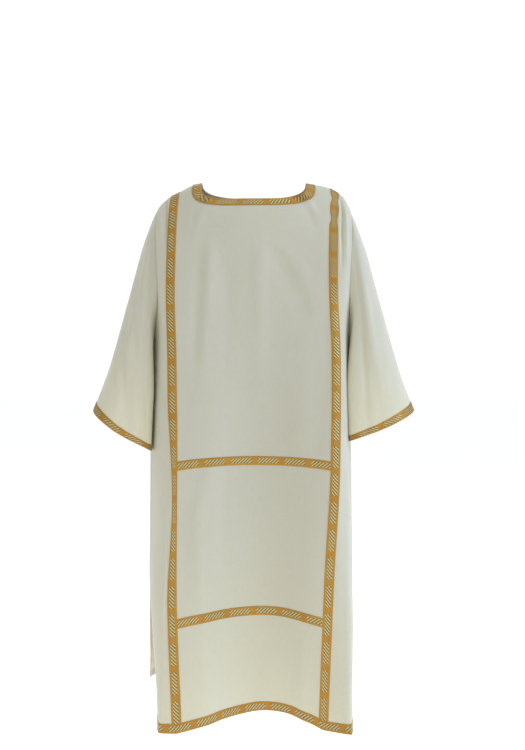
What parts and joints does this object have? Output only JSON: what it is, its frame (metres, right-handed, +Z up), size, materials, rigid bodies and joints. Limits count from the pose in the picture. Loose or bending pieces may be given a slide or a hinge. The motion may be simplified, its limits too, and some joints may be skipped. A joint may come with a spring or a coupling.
{
  "type": "dalmatic",
  "caption": "Worn dalmatic: hollow wide-sleeved tunic in plain ivory cloth with woven gold galloon clavi, crossbars, cuffs, neck and hem, open below the side seams.",
  "frame": {"origin": "middle of the neck opening, level with the shoulder seams beside the neck, where the wearer's shoulders hold the garment", "axes": "+Z up along the body, -Y the wearer's front, +X the wearer's left"},
  "size_m": [0.7486, 0.3731, 1.2136],
  "materials": {
    "ivory_cloth": "ivory plain-woven vestment cloth, soft matt sheen",
    "gold_galloon": "woven metallic-thread galloon, old gold with a pale lattice"
  },
  "bodies": {
    "root": {"front_panel": "ivory_cloth", "back_panel": "ivory_cloth", "right_sleeve": "ivory_cloth", "left_sleeve": "ivory_cloth", "neck_galloon": "gold_galloon", "right_clavus": "gold_galloon", "left_clavus": "gold_galloon", "upper_front_crossbar": "gold_galloon", "lower_front_crossbar": "gold_galloon", "front_hem_galloon": "gold_galloon", "back_hem_galloon": "gold_galloon", "right_cuff_galloon": "gold_galloon", "left_cuff_galloon": "gold_galloon"}
  },
  "joints": []
}
